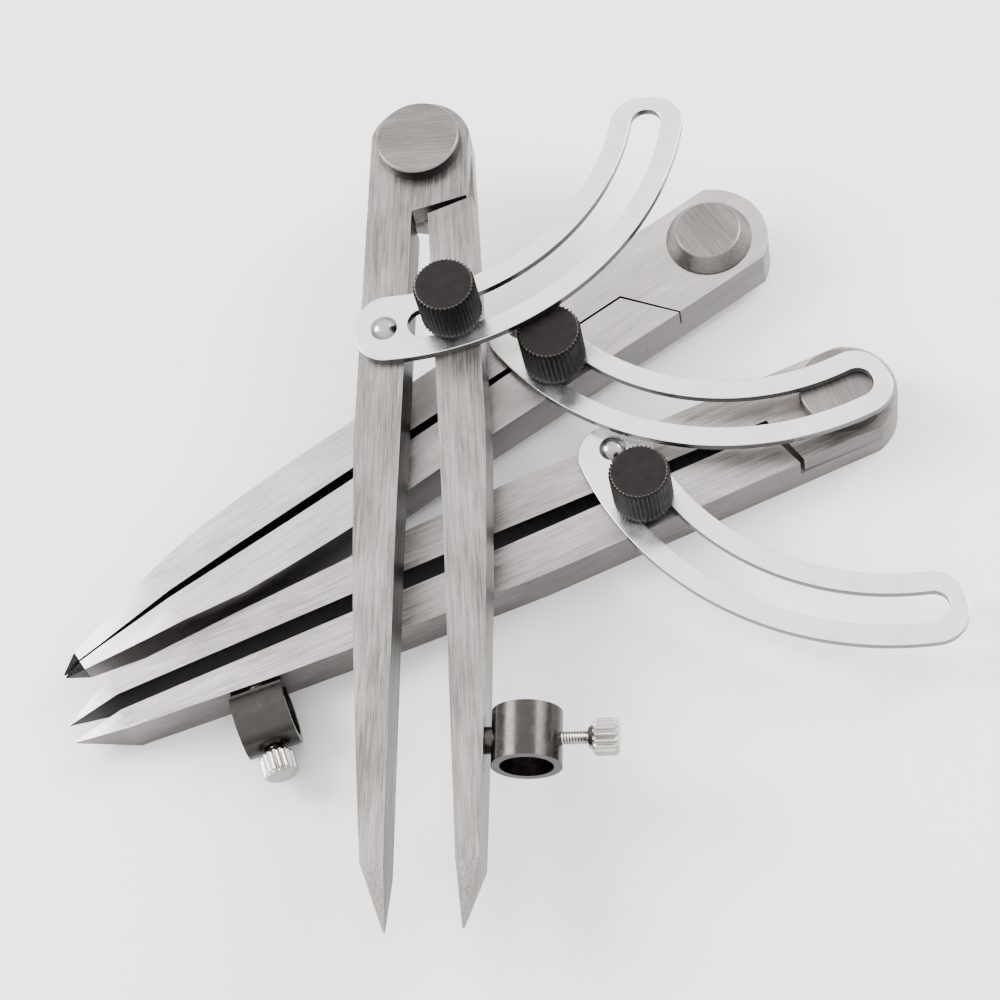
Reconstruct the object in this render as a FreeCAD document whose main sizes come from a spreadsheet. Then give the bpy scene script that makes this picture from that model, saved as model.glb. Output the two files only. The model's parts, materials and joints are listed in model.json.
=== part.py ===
"""Drafting compass set: three 202 mm (8 in) wing dividers laid in a pile.

Each divider has two legs that lap half over half on a riveted pivot, a slotted quadrant (the
wing) riveted to one leg, and a knurled lock knob in the other leg that clamps the wing.  The top
and the bottom divider carry a pencil ring with a clamp screw, and the middle one has hard tips.

A divider is modelled closed, in its own frame: the pivot axis is Z, the legs point along -Y, the
wing leg is on the -X side and the lock leg on the +X side, and z = 0 is the legs' underside.
"""
import FreeCAD, Part
import math
import os

import Sketcher

DOC = FreeCAD.newDocument("wing_dividers")

# ---------------------------------------------------------------- driving dimensions (mm, degrees)
SIZES = {
    # shared by all three dividers
    "leg_thickness": 11.0, "lap_gap": 0.1, "top_gap": 0.1, "run_gap": 0.05, "shank_radius": 3.5,
    "wing_thickness": 2.0, "slot_width": 7.3, "wing_width": 16.9, "wing_corner": 7.4,
    "rivet_head_radius": 3.1, "rivet_head_height": 1.5, "rivet_shank_radius": 2.0,
    "rivet_crown_radius": 0.9,
    "top_knob_radius": 7.0, "middle_knob_radius": 7.3, "bottom_knob_radius": 6.8,
    "knob_height": 13.1, "knob_edge": 0.35, "knob_foot": 0.9,
    "stud_radius": 2.5, "stud_depth": 7.4, "stud_hole_depth": 8.0,
    # plain divider: pencil ring legs
    "plain_head_radius": 12.2, "plain_half_width": 11.7, "plain_lap_angle": 17.0,
    "plain_lap_reach": 17.7, "plain_shoulder_reach": 19.05, "plain_relief": 1.1,
    "plain_belly_y": -80.0, "plain_belly_half": 11.6, "plain_mid_y": -130.0, "plain_mid_half": 8.85,
    "plain_bevel_y": -177.0, "plain_bevel_half": 5.0, "plain_relief_end_y": -100.0,
    "plain_length": 190.0, "plain_tip_half": 0.5, "plain_tip_gap": 0.1,
    "plain_disc_radius": 10.0, "plain_disc_height": 3.6, "plain_disc_edge": 0.35,
    "tail_radius": 4.8, "tail_height": 1.3,
    # pencil ring and its clamp screw
    "top_ring_seat_x": 7.285, "bottom_ring_seat_x": 7.54, "ring_lean": 4.55, "ring_radius": 7.5,
    "ring_bore_radius": 5.7, "ring_length": 12.0, "ring_height": 7.5, "ring_neck": 2.9,
    "top_ring_y": -151.0, "top_ring_reach": 8.665, "bottom_ring_y": -147.8,
    "bottom_ring_reach": 7.56, "spigot_radius": 2.0, "spigot_length": 4.4,
    "screw_radius": 1.45, "screw_length": 7.2, "screw_head_radius": 3.95,
    "screw_head_length": 6.3, "screw_head_edge": 0.4, "screw_neck": 1.1,
    "screw_neck_foot": 2.17, "screw_neck_head": 2.96, "top_screw_out": 5.4, "bottom_screw_out": 0.3,
    # hard-tipped divider
    "hard_head_radius": 13.8, "hard_half_width": 12.0, "hard_lap_angle": 35.5,
    "hard_lap_reach": 20.7, "hard_shoulder_reach": 21.05, "hard_relief": 1.2,
    "hard_waist_y": -85.0, "hard_waist_half": 11.5, "hard_belly_y": -108.0,
    "hard_belly_half": 11.6, "hard_knee_y": -136.0, "hard_knee_half": 10.3,
    "hard_taper_y": -156.0, "hard_taper_half": 6.7, "hard_socket_y": -175.3,
    "hard_socket_half": 2.6, "hard_inner_start_y": -40.0, "hard_inner_mid_y": -98.0,
    "hard_inner_end_y": -170.0, "hard_inner_gap": 0.25, "hard_slope_y": -150.0,
    "hard_length": 180.0, "hard_socket_thickness": 5.0, "hard_tip_end": 0.3,
    "hard_disc_base": 10.1, "hard_disc_top": 7.45, "hard_disc_height": 3.9,
    # each wing: its arc's centre, its ends, its slot's ends and its rivet round that centre,
    # and the lock knob in the leg beside it
    "top_wing_centre_x": -6.6, "top_wing_centre_y": 9.9, "top_slot_path": 61.25,
    "top_wing_start": -5.5, "top_rivet_angle": 0.8, "top_slot_start": 9.4,
    "top_slot_end": 81.5, "top_wing_end": 88.3, "top_knob_x": 6.0, "top_knob_y": -49.5,
    "middle_wing_centre_x": -7.45, "middle_wing_centre_y": 12.2, "middle_slot_path": 61.25,
    "middle_wing_start": -5.0, "middle_rivet_angle": 0.5, "middle_slot_start": 9.9,
    "middle_slot_end": 81.0, "middle_wing_end": 87.9, "middle_knob_x": 5.65, "middle_knob_y": -47.5,
    "bottom_wing_centre_x": -7.5, "bottom_wing_centre_y": 14.35, "bottom_slot_path": 67.4,
    "bottom_wing_start": -6.1, "bottom_rivet_angle": -0.9, "bottom_slot_start": 8.4,
    "bottom_slot_end": 73.1, "bottom_wing_end": 79.4, "bottom_knob_x": 5.2, "bottom_knob_y": -51.6,
    # where each divider lies: pivot, heading of its wing leg, and how far it stands open
    "top_x": 14.946, "top_y": 86.613, "top_z": 19.4, "top_heading": -17.5, "top_open": 4.75,
    "middle_x": 72.746, "middle_y": 46.513, "middle_z": 3.9, "middle_heading": -72.3,
    "middle_open": 0.0,
    "bottom_x": 88.546, "bottom_y": -1.687, "bottom_z": 0.0, "bottom_heading": -84.9,
    "bottom_open": 1.2,
}


class Dim:
    """A length or angle that knows its number and the sheet expression that gives it."""

    def __init__(self, value, text):
        self.value = value
        self.text = text

    def __add__(self, other):
        other = dim(other)
        return Dim(self.value + other.value, "(%s + %s)" % (self.text, other.text))

    def __sub__(self, other):
        other = dim(other)
        return Dim(self.value - other.value, "(%s - %s)" % (self.text, other.text))

    def __mul__(self, other):
        other = dim(other)
        return Dim(self.value * other.value, "%s * %s" % (self.text, other.text))

    def __truediv__(self, other):
        other = dim(other)
        return Dim(self.value / other.value, "%s / %s" % (self.text, other.text))

    def __neg__(self):
        return Dim(-self.value, "(-1 * %s)" % self.text)


def dim(number):
    """Take a plain number, or a Dim as it is."""
    if isinstance(number, Dim):
        return number
    return Dim(float(number), "(%r)" % float(number))


def size(name):
    """One cell of the sheet."""
    return Dim(SIZES[name], "Sizes." + name)


def sine(angle):
    return Dim(math.sin(math.radians(angle.value)), "sin(%s)" % angle.text)


def cosine(angle):
    return Dim(math.cos(math.radians(angle.value)), "cos(%s)" % angle.text)


def make_sheet():
    """Write every driving dimension in the sheet, a name and a value a row."""
    sheet = DOC.addObject("Spreadsheet::Sheet", "Sizes")
    for row, (name, value) in enumerate(SIZES.items(), start=1):
        sheet.set("A%d" % row, name)
        sheet.set("B%d" % row, "%r" % value)
        sheet.setAlias("B%d" % row, name)
    DOC.recompute()


def bind(thing, path, value):
    """Tie one property of an object to the sheet."""
    thing.setExpression(path, dim(value).text)


# ------------------------------------------------------------------------------ sketch helpers
def new_body(name):
    body = DOC.addObject("PartDesign::Body", name)
    body.Label = name
    return body


def new_sketch(body, name, plane, lift=0.0, turn=None):
    """A sketch on one of the body's own planes, lifted along its normal or turned about its V axis."""
    sketch = body.newObject("Sketcher::SketchObject", body.Name + "_" + name)
    for feature in body.Origin.OriginFeatures:
        if feature.Role == plane:
            sketch.AttachmentSupport = [(feature, "")]
    sketch.MapMode = "FlatFace"
    if turn is None:
        bind(sketch, "AttachmentOffset.Base.z", lift)
    else:
        axis = FreeCAD.Vector(0, 1, 0)
        sketch.AttachmentOffset = FreeCAD.Placement(FreeCAD.Vector(), FreeCAD.Rotation(axis, turn.value))
        bind(sketch, "AttachmentOffset.Rotation.Angle", turn)
    return sketch


def pin_point(sketch, geometry, end, point):
    """Hold one point of the sketch at its x and y from the origin."""
    for kind, value in (("DistanceX", point[0]), ("DistanceY", point[1])):
        value = dim(value)
        index = sketch.addConstraint(Sketcher.Constraint(kind, -1, 1, geometry, end, value.value))
        bind(sketch, "Constraints[%d]" % index, value)


def vector(point):
    return FreeCAD.Vector(dim(point[0]).value, dim(point[1]).value, 0)


def add_outline(sketch, corners, bulges=None):
    """A closed outline through the corners; bulges maps an edge's number to a point on its arc."""
    bulges = bulges or {}
    count = len(corners)
    first = sketch.GeometryCount
    for i, corner in enumerate(corners):
        start, end = vector(corner), vector(corners[(i + 1) % count])
        if i in bulges:
            arc = Part.Arc(start, vector(bulges[i]), end)
            sketch.addGeometry(arc, False)
        else:
            sketch.addGeometry(Part.LineSegment(start, end), False)
    ends = [edge_ends(sketch, first + i, corners[i]) for i in range(count)]
    for i in range(count):
        following = (i + 1) % count
        sketch.addConstraint(Sketcher.Constraint(
            "Coincident", first + i, ends[i][1], first + following, ends[following][0]))
        pin_point(sketch, first + i, ends[i][0], corners[i])
    for i, through in bulges.items():
        mark = sketch.addGeometry(Part.Point(vector(through)), True)
        pin_point(sketch, mark, 1, through)
        sketch.addConstraint(Sketcher.Constraint("PointOnObject", mark, 1, first + i))


def edge_ends(sketch, geometry, corner):
    """Which ends of an edge are its first and its last: an arc is always kept anticlockwise."""
    if (sketch.getPoint(geometry, 1) - vector(corner)).Length < 1e-6:
        return 1, 2
    return 2, 1


def add_circle(sketch, centre, radius):
    radius = dim(radius)
    circle = Part.Circle(vector(centre), FreeCAD.Vector(0, 0, 1), radius.value)
    index = sketch.addGeometry(circle, False)
    pin_point(sketch, index, 3, centre)
    bound = sketch.addConstraint(Sketcher.Constraint("Radius", index, radius.value))
    bind(sketch, "Constraints[%d]" % bound, radius)


# ----------------------------------------------------------------------------- feature helpers
def pad(body, sketch, length, both_ways=False):
    feature = body.newObject("PartDesign::Pad", sketch.Name + "_pad")
    feature.Profile = sketch
    feature.Midplane = both_ways
    bind(feature, "Length", length)
    sketch.Visibility = False
    DOC.recompute()
    return feature


def pocket(body, sketch, depth=None, along_normal=False):
    """Cut a sketch through everything, both ways, or to a depth on one side of it."""
    before = body.Shape.Volume
    feature = body.newObject("PartDesign::Pocket", sketch.Name + "_pocket")
    feature.Profile = sketch
    if depth is None:
        feature.Type = 1
        feature.Midplane = True
    else:
        bind(feature, "Length", depth)
        feature.Reversed = along_normal
    DOC.recompute()
    if body.Shape.Volume > before - 1e-3:
        raise RuntimeError(feature.Name + " cut nothing")
    return feature


def revolve(body, sketch, angle=None, cut=False):
    """Turn a sketch about the body's Z axis, its sketch's own V axis, as a solid or as a groove."""
    before = body.Shape.Volume if cut else 0.0
    kind = "PartDesign::Groove" if cut else "PartDesign::Revolution"
    feature = body.newObject(kind, sketch.Name + "_turned")
    feature.Profile = sketch
    feature.ReferenceAxis = (sketch, ["V_Axis"])
    if angle is None:
        feature.Angle = 360.0
    else:
        bind(feature, "Angle", angle)
    DOC.recompute()
    if cut and body.Shape.Volume > before - 1e-3:
        raise RuntimeError(feature.Name + " cut nothing")
    return feature


def place(body, where, half, local=(0.0, 0.0, 0.0), turn=0.0):
    """Put a piece at its place on one half ('wing' or 'lock') of the divider called where."""
    heading = size(where + "_heading")
    if half == "lock":
        heading = heading + size(where + "_open")
    x, y, z = [dim(value) for value in local]
    bind(body, "Placement.Base.x", size(where + "_x") + x * cosine(heading) - y * sine(heading))
    bind(body, "Placement.Base.y", size(where + "_y") + x * sine(heading) + y * cosine(heading))
    bind(body, "Placement.Base.z", size(where + "_z") + z)
    total = heading + turn
    axis = FreeCAD.Vector(0, 0, 1)
    body.Placement = FreeCAD.Placement(FreeCAD.Vector(), FreeCAD.Rotation(axis, total.value))
    bind(body, "Placement.Rotation.Angle", total)


# --------------------------------------------------------------------------------------- legs
def lap_point(kind, reach, x, side):
    """A point at x on a lap line: the line leans by the lap angle, reach away from the pivot."""
    angle = size(kind + "_lap_angle")
    y = (dim(x) * sine(angle) - reach) / cosine(angle)
    return dim(x) * side, y


def head_start(kind):
    """How far below the pivot the head's round meets the leg's straight side."""
    value = math.sqrt(SIZES[kind + "_head_radius"] ** 2 - SIZES[kind + "_half_width"] ** 2)
    radius = size(kind + "_head_radius").text
    half = size(kind + "_half_width").text
    return Dim(value, "sqrt(%s ^ 2 - %s ^ 2)" % (radius, half))


def leg_sides(kind, side):
    """The leg below its shoulder: corners down the outer side, round the tip and up the inner one."""
    outer, inner = -side, -side
    if kind == "plain":
        corners = [
            (size("plain_belly_half") * outer, size("plain_belly_y")),
            (size("plain_bevel_half") * outer, size("plain_bevel_y")),
            (size("plain_tip_half") * outer, -size("plain_length")),
            (size("plain_tip_gap") * inner, -size("plain_length")),
            (size("plain_tip_gap") * inner, size("plain_bevel_y")),
            (size("plain_relief") * inner, size("plain_relief_end_y")),
        ]
        bulges = {0: (size("plain_mid_half") * outer, size("plain_mid_y"))}
        return corners, bulges, size("plain_relief")
    gap = size("hard_inner_gap")
    corners = [
        (size("hard_waist_half") * outer, size("hard_waist_y")),
        (size("hard_knee_half") * outer, size("hard_knee_y")),
        (size("hard_socket_half") * outer, size("hard_socket_y")),
        (gap * inner, size("hard_socket_y")),
        (gap * inner, size("hard_inner_end_y")),
        (gap * inner, size("hard_inner_start_y")),
    ]
    bulges = {
        0: (size("hard_belly_half") * outer, size("hard_belly_y")),
        1: (size("hard_taper_half") * outer, size("hard_taper_y")),
        4: (size("hard_relief") * inner, size("hard_inner_mid_y")),
    }
    return corners, bulges, gap


def make_leg(name, where, kind, half):
    """One leg: a full-thickness blade, and a half-thickness lap round the pivot.

    The wing leg laps over and the lock leg laps under.  side is +1 for the wing leg, which lies
    on -X, and -1 for the lock leg, its mirror image turned over.
    """
    side = 1 if half == "wing" else -1
    body = new_body(name)
    thickness = size("leg_thickness")
    split = (thickness + size("lap_gap") * side) / 2
    top = thickness if half == "wing" else thickness - size("top_gap")
    sides, bulges, relief = leg_sides(kind, side)

    # the blade, which ends at the shoulder that the other leg's lap turns against
    shoulder = size(kind + "_shoulder_reach")
    blade = new_sketch(body, "blade", "XY_Plane")
    corners = [lap_point(kind, shoulder, size(kind + "_half_width"), -side)] + sides
    corners.append(lap_point(kind, shoulder, relief, -side))
    add_outline(blade, corners, {edge + 1: point for edge, point in bulges.items()})
    pad(body, blade, top)

    # the lap: its line crosses the centre to the far side, and its head is round about the pivot
    reach = size(kind + "_lap_reach")
    wide = size(kind + "_half_width")
    lift = split if half == "wing" else dim(0.0)
    lap = new_sketch(body, "lap", "XY_Plane", lift)
    rise = head_start(kind)
    neck = size(kind + "_shoulder_reach") + 6.0
    corners = [
        lap_point(kind, reach, wide, side),
        (wide * side, rise),
        (wide * -side, rise),
        (wide * -side, -neck),
        (relief * -side, -neck),
        (relief * -side, lap_point(kind, reach, dim(0.0), side)[1]),
    ]
    crown = {1: (dim(0.0), size(kind + "_head_radius"))}
    add_outline(lap, corners, crown)
    pad(body, lap, top - split if half == "wing" else split)

    # the pivot hole: the rivet is tight in the wing leg and turns in the lock leg
    bore = new_sketch(body, "bore", "XY_Plane")
    clearance = dim(0.0) if half == "wing" else size("run_gap")
    add_circle(bore, (0.0, 0.0), size("shank_radius") + clearance)
    pocket(body, bore)
    slope_tip(body, kind, side)
    if half == "wing":
        hole = new_sketch(body, "rivet_hole", "XY_Plane")
        add_circle(hole, rivet_centre(where), size("rivet_shank_radius"))
        pocket(body, hole)
    else:
        finish_lock_leg(body, where, kind)
    place(body, where, half)
    return body


def slope_tip(body, kind, side):
    """Slope the top and the underside of the leg's end towards the middle of its thickness."""
    thickness = size("leg_thickness")
    if kind == "plain":
        start, end, left = size("plain_bevel_y"), -size("plain_length"), dim(0.6)
    else:
        start, end, left = size("hard_slope_y"), size("hard_socket_y"), size("hard_socket_thickness")
    low, high = (thickness - left) / 2, (thickness + left) / 2
    beyond = end - 5.0
    slopes = new_sketch(body, "slopes", "YZ_Plane")
    under = dim(-2.0)
    add_outline(slopes, [(start, dim(0.0)), (end, low), (beyond, low), (beyond, under), (start, under)])
    over = thickness + 2.0
    add_outline(slopes, [(start, thickness), (start, over), (beyond, over), (beyond, high), (end, high)])
    pocket(body, slopes)


def rivet_centre(where):
    """The wing rivet sits on the slot's path, close to straight below the arc's centre."""
    path, angle = size(where + "_slot_path"), size(where + "_rivet_angle")
    x = size(where + "_wing_centre_x") + path * sine(angle)
    return x, size(where + "_wing_centre_y") - path * cosine(angle)


def knob_centre(where):
    """The lock knob's axis, in the lock leg's frame."""
    return size(where + "_knob_x"), size(where + "_knob_y")


def finish_lock_leg(body, where, kind):
    """The threaded hole for the lock knob and, on a plain leg, the ring's hole and the rivet's sink."""
    top = size("leg_thickness") - size("top_gap")
    hole = new_sketch(body, "stud_hole", "XY_Plane", top)
    add_circle(hole, knob_centre(where), size("stud_radius") + size("run_gap"))
    pocket(body, hole, size("stud_hole_depth"))
    if kind != "plain":
        return
    sink = new_sketch(body, "sink", "XZ_Plane")
    slack = size("run_gap") * 2.0
    add_outline(sink, [(dim(0.0), dim(-1.0)), (size("tail_radius") + slack, dim(-1.0)),
                       (size("tail_radius") + slack, dim(0.0)),
                       (size("shank_radius") + slack, size("tail_height") + size("run_gap")),
                       (dim(0.0), size("tail_height") + size("run_gap"))])
    revolve(body, sink, cut=True)
    spigot_hole(body, where)


def on_seat(where, out, along):
    """A point of the ring's seat: out from the leg's side and along it, in the lock leg's frame."""
    lean = size("ring_lean")
    x = size(where + "_ring_seat_x") + out * cosine(lean) + along * sine(lean)
    y = size(where + "_ring_y") - out * sine(lean) + along * cosine(lean)
    return x, y


def spigot_hole(body, where):
    """A blind hole square to the ring's seat, for the spigot that holds the ring."""
    sketch = new_sketch(body, "spigot_hole", "YZ_Plane", turn=-size("ring_lean"))
    spot = (size(where + "_ring_y"), size("ring_height"), size(where + "_ring_seat_x"))
    for axis, value in zip("xyz", spot):
        bind(sketch, "AttachmentOffset.Base." + axis, value)
    add_circle(sketch, (0.0, 0.0), size("spigot_radius"))
    pocket(body, sketch, size("spigot_length") + 0.1)


# ------------------------------------------------------------------------------ turned pieces
def make_turned(name, outline):
    """A piece turned about Z from a half outline of (radius, height) corners."""
    body = new_body(name)
    sketch = new_sketch(body, "profile", "XZ_Plane")
    add_outline(sketch, outline)
    revolve(body, sketch)
    return body


def make_pivot_rivet(name, where, kind):
    """The pivot: a flat disc head on the top lap, and a shank set flush in the underside."""
    top = size("leg_thickness")
    shank = size("shank_radius")
    if kind == "plain":
        radius, height, edge = (size("plain_disc_" + part) for part in ("radius", "height", "edge"))
        outline = [(dim(0.0), dim(0.0)), (size("tail_radius"), dim(0.0)), (shank, size("tail_height")),
                   (shank, top), (radius, top), (radius, top + height - edge),
                   (radius - edge, top + height), (dim(0.0), top + height)]
    else:
        height = size("hard_disc_height")
        outline = [(dim(0.0), -height), (shank, -height), (shank, top), (size("hard_disc_base"), top),
                   (size("hard_disc_top"), top + height), (dim(0.0), top + height)]
    body = make_turned(name, outline)
    place(body, where, "wing")
    return body


def make_lower_disc(name, where):
    """The coned disc under the middle divider's head; the shank is peened flush in it."""
    height = size("hard_disc_height")
    shank = size("shank_radius")
    outline = [(shank, -height), (size("hard_disc_top"), -height),
               (size("hard_disc_base"), -size("lap_gap")), (shank, -size("lap_gap"))]
    body = make_turned(name, outline)
    place(body, where, "wing")
    return body


def make_wing_rivet(name, where):
    """The domed rivet that fastens the wing to its leg."""
    top = size("leg_thickness") + size("wing_thickness")
    head, shank = size("rivet_head_radius"), size("rivet_shank_radius")
    height = size("rivet_head_height")
    body = new_body(name)
    sketch = new_sketch(body, "profile", "XZ_Plane")
    crown = size("rivet_crown_radius")
    corners = [(dim(0.0), dim(0.0)), (shank, dim(0.0)), (shank, top), (head, top),
               (crown, top + height), (dim(0.0), top + height)]
    add_outline(sketch, corners, {3: (head * 0.72, top + height * 0.62)})
    revolve(body, sketch)
    place(body, where, "wing", rivet_centre(where) + (dim(0.0),))
    return body


def make_lock_knob(name, where):
    """The lock knob: a drum-shaped head on the wing, and a stud through the slot into the leg."""
    seat = size("leg_thickness") + size("wing_thickness") + size("top_gap")
    top = size("leg_thickness") + size("wing_thickness") + size("knob_height")
    foot = size("leg_thickness") - size("top_gap") - size("stud_depth")
    radius, stud, edge = size(where + "_knob_radius"), size("stud_radius"), size("knob_edge")
    lower = size("knob_foot")
    outline = [(dim(0.0), foot), (stud, foot), (stud, seat), (radius - lower, seat),
               (radius, seat + lower), (radius, top - edge), (radius - edge, top), (dim(0.0), top)]
    body = make_turned(name, outline)
    place(body, where, "lock", knob_centre(where) + (dim(0.0),))
    return body


# --------------------------------------------------------------------------------------- wing
def make_wing(name, where):
    """The wing: a flat quadrant about a centre of its own, with a slot along its middle."""
    body = new_body(name)
    middle, width = size(where + "_slot_path"), size("wing_width")
    start, end = size(where + "_wing_start"), size(where + "_wing_end")
    slot_start, slot_end = size(where + "_slot_start"), size(where + "_slot_end")
    thickness = size("wing_thickness")
    strip = new_sketch(body, "strip", "XZ_Plane")
    inner, outer = middle - width / 2, middle + width / 2
    add_outline(strip, [(inner, dim(0.0)), (outer, dim(0.0)), (outer, thickness), (inner, thickness)])
    revolve(body, strip, end - start)

    slot_half = size("slot_width") / 2
    begin = slot_start - start
    cutter = new_sketch(body, "slot", "XZ_Plane", turn=begin)
    inner, outer = middle - slot_half, middle + slot_half
    under, over = dim(-1.0), thickness + 1.0
    add_outline(cutter, [(inner, under), (outer, under), (outer, over), (inner, over)])
    revolve(body, cutter, slot_end - slot_start, cut=True)

    rounds = new_sketch(body, "rounds", "XY_Plane")
    for angle in (begin, slot_end - start):
        add_circle(rounds, (middle * cosine(angle), middle * sine(angle)), slot_half)
    rivet_angle = size(where + "_rivet_angle") - start
    rivet_spot = (middle * cosine(rivet_angle), middle * sine(rivet_angle))
    add_circle(rounds, rivet_spot, size("rivet_shank_radius"))
    pocket(body, rounds)

    shape = body.Shape
    corners = []
    for number, edge in enumerate(shape.Edges, start=1):
        ends = [vertex.Point for vertex in edge.Vertexes]
        upright = len(ends) == 2 and abs(ends[0].z - ends[1].z) > SIZES["wing_thickness"] - 1e-3
        if upright and on_rim(ends[0], middle.value):
            corners.append("Edge%d" % number)
    if len(corners) != 4:
        raise RuntimeError("the wing has %d outer corners" % len(corners))
    drilled = body.Tip
    fillet = body.newObject("PartDesign::Fillet", body.Name + "_corners")
    fillet.Base = (drilled, corners)
    bind(fillet, "Radius", size("wing_corner"))
    DOC.recompute()
    centre = (size(where + "_wing_centre_x"), size(where + "_wing_centre_y"), size("leg_thickness"))
    place(body, where, "wing", centre, start - 90.0)
    return body


def on_rim(point, middle):
    """Whether a point in the wing's own frame lies on its inner or its outer edge."""
    radius = math.hypot(point.x, point.y)
    return abs(abs(radius - middle) - SIZES["wing_width"] / 2) < 1e-3


# ------------------------------------------------------------------------- pencil ring, screw
def make_pencil_ring(name, where):
    """The pencil ring: a tube along the leg with a round neck, a spigot and a hole for its screw."""
    body = new_body(name)
    length, seat = size("ring_length"), size(where + "_ring_reach")
    tube = new_sketch(body, "tube", "XZ_Plane")
    add_circle(tube, (0.0, 0.0), size("ring_radius"))
    pad(body, tube, length, both_ways=True)
    neck = new_sketch(body, "neck", "YZ_Plane", -seat)
    add_circle(neck, (0.0, 0.0), size("ring_neck"))
    pad(body, neck, seat - size("ring_bore_radius") + 0.5)
    bore = new_sketch(body, "bore", "XZ_Plane")
    add_circle(bore, (0.0, 0.0), size("ring_bore_radius"))
    pocket(body, bore)
    spigot = new_sketch(body, "spigot", "YZ_Plane", -seat - size("spigot_length"))
    add_circle(spigot, (0.0, 0.0), size("spigot_radius"))
    pad(body, spigot, size("spigot_length") + 0.3)
    thread = new_sketch(body, "thread", "YZ_Plane")
    add_circle(thread, (0.0, 0.0), size("screw_radius") + size("run_gap"))
    pocket(body, thread, size("ring_radius") + 1.0, along_normal=True)
    place(body, where, "lock", ring_axis(where, seat), -size("ring_lean"))
    return body


def ring_axis(where, out):
    """A point on the ring screw's axis, out from the leg's seat, in the divider's frame."""
    x, y = on_seat(where, out, dim(0.0))
    return x, y, size("ring_height")


def make_ring_screw(name, where):
    """The ring's clamp screw, run out by its own amount; its axis is the body's X."""
    body = new_body(name)
    run_out = size(where + "_screw_out")
    stud, head = size("screw_radius"), size("screw_head_radius")
    edge, length, neck = (size("screw_" + part) for part in ("head_edge", "head_length", "neck"))
    sketch = new_sketch(body, "profile", "XZ_Plane")
    add_outline(sketch, [(-size("screw_length"), dim(0.0)), (length, dim(0.0)), (length, head - edge),
                         (length - edge, head), (neck + edge, head), (neck, head - edge),
                         (neck, size("screw_neck_head")), (dim(0.0), size("screw_neck_foot")),
                         (dim(0.0), stud),
                         (-size("screw_length"), stud)])
    feature = body.newObject("PartDesign::Revolution", "turned_screw")
    feature.Profile = sketch
    feature.ReferenceAxis = (sketch, ["H_Axis"])
    feature.Angle = 360.0
    DOC.recompute()
    out = size(where + "_ring_reach") + size("ring_radius") + run_out
    place(body, where, "lock", ring_axis(where, out), -size("ring_lean"))
    return body


# ---------------------------------------------------------------------------------- hard tips
def make_hard_tip(name, where, half):
    """A hard tip brazed on a leg's end: a four-sided point, from the leg's end to a small flat."""
    side = -1 if half == "wing" else 1
    tip = DOC.addObject("Part::Wedge", name)
    tip.Label = name
    gap, socket, end = size("hard_inner_gap"), size("hard_socket_half"), size("hard_tip_end")
    middle, thick = size("leg_thickness") / 2, size("hard_socket_thickness")
    near, far = gap * side, (gap + end) * side
    wide = socket * side
    low, high = (near, far) if side > 0 else (far, near)
    low_2, high_2 = (near, wide) if side > 0 else (wide, near)
    for key, value in (("Xmin", low), ("Xmax", high), ("Zmin", middle - end / 2),
                       ("Zmax", middle + end / 2), ("Ymin", -size("hard_length")),
                       ("Ymax", size("hard_socket_y")), ("X2min", low_2), ("X2max", high_2),
                       ("Z2min", middle - thick / 2), ("Z2max", middle + thick / 2)):
        bind(tip, key, value)
    place(tip, where, half)
    return tip


# ------------------------------------------------------------------------------------- set
def make_divider(where, kind):
    """Build one whole divider of the pile and return its pieces."""
    pieces = [
        make_leg(where + "_wing_leg", where, kind, "wing"),
        make_leg(where + "_lock_leg", where, kind, "lock"),
        make_pivot_rivet(where + "_pivot_rivet", where, kind),
        make_wing(where + "_wing", where),
        make_wing_rivet(where + "_wing_rivet", where),
        make_lock_knob(where + "_lock_knob", where),
    ]
    if kind == "plain":
        pieces.append(make_pencil_ring(where + "_pencil_ring", where))
        pieces.append(make_ring_screw(where + "_ring_screw", where))
    else:
        pieces.append(make_lower_disc(where + "_pivot_disc", where))
        pieces.append(make_hard_tip(where + "_wing_leg_tip", where, "wing"))
        pieces.append(make_hard_tip(where + "_lock_leg_tip", where, "lock"))
    return pieces


def check_document(pieces):
    """Stop if anything in the document failed, or if a piece has no sound solid."""
    for thing in DOC.Objects:
        if "Invalid" in thing.State or "Error" in thing.State:
            raise RuntimeError("%s is %s" % (thing.Name, thing.State))
    for piece in pieces:
        if piece.Shape.isNull() or not piece.Shape.isValid() or not piece.Shape.Solids:
            raise RuntimeError(piece.Label + " has no valid solid")


def main():
    make_sheet()
    pieces = []
    for where, kind in (("top", "plain"), ("middle", "hard"), ("bottom", "plain")):
        pieces.extend(make_divider(where, kind))
    DOC.recompute()
    check_document(pieces)
    os.makedirs("parts", exist_ok=True)
    for piece in pieces:
        piece.Shape.exportStep("parts/%s.step" % piece.Label)
        box = piece.Shape.BoundBox
        print("%-22s volume %9.1f  solids %d  x %.1f..%.1f y %.1f..%.1f z %.2f..%.2f" % (
            piece.Label, piece.Shape.Volume, len(piece.Shape.Solids),
            box.XMin, box.XMax, box.YMin, box.YMax, box.ZMin, box.ZMax))


main()
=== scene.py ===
"""Looks for a pile of three wing compasses: brushed legs, plated wings, black knobs and rings.

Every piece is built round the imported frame.  The frame's boxes and joints say where a piece
goes, and the classes below hold the sizes of what each piece adds: edge breaks, knurls, flutes,
threads and finishes.  Lengths in the classes are in millimetres; meshes are in metres.
"""

import json
import logging
import math
from dataclasses import dataclass, field
from enum import Enum
from typing import Callable, Optional

import bmesh
import bpy
import numpy as np
from mathutils import Matrix, Vector


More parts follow.
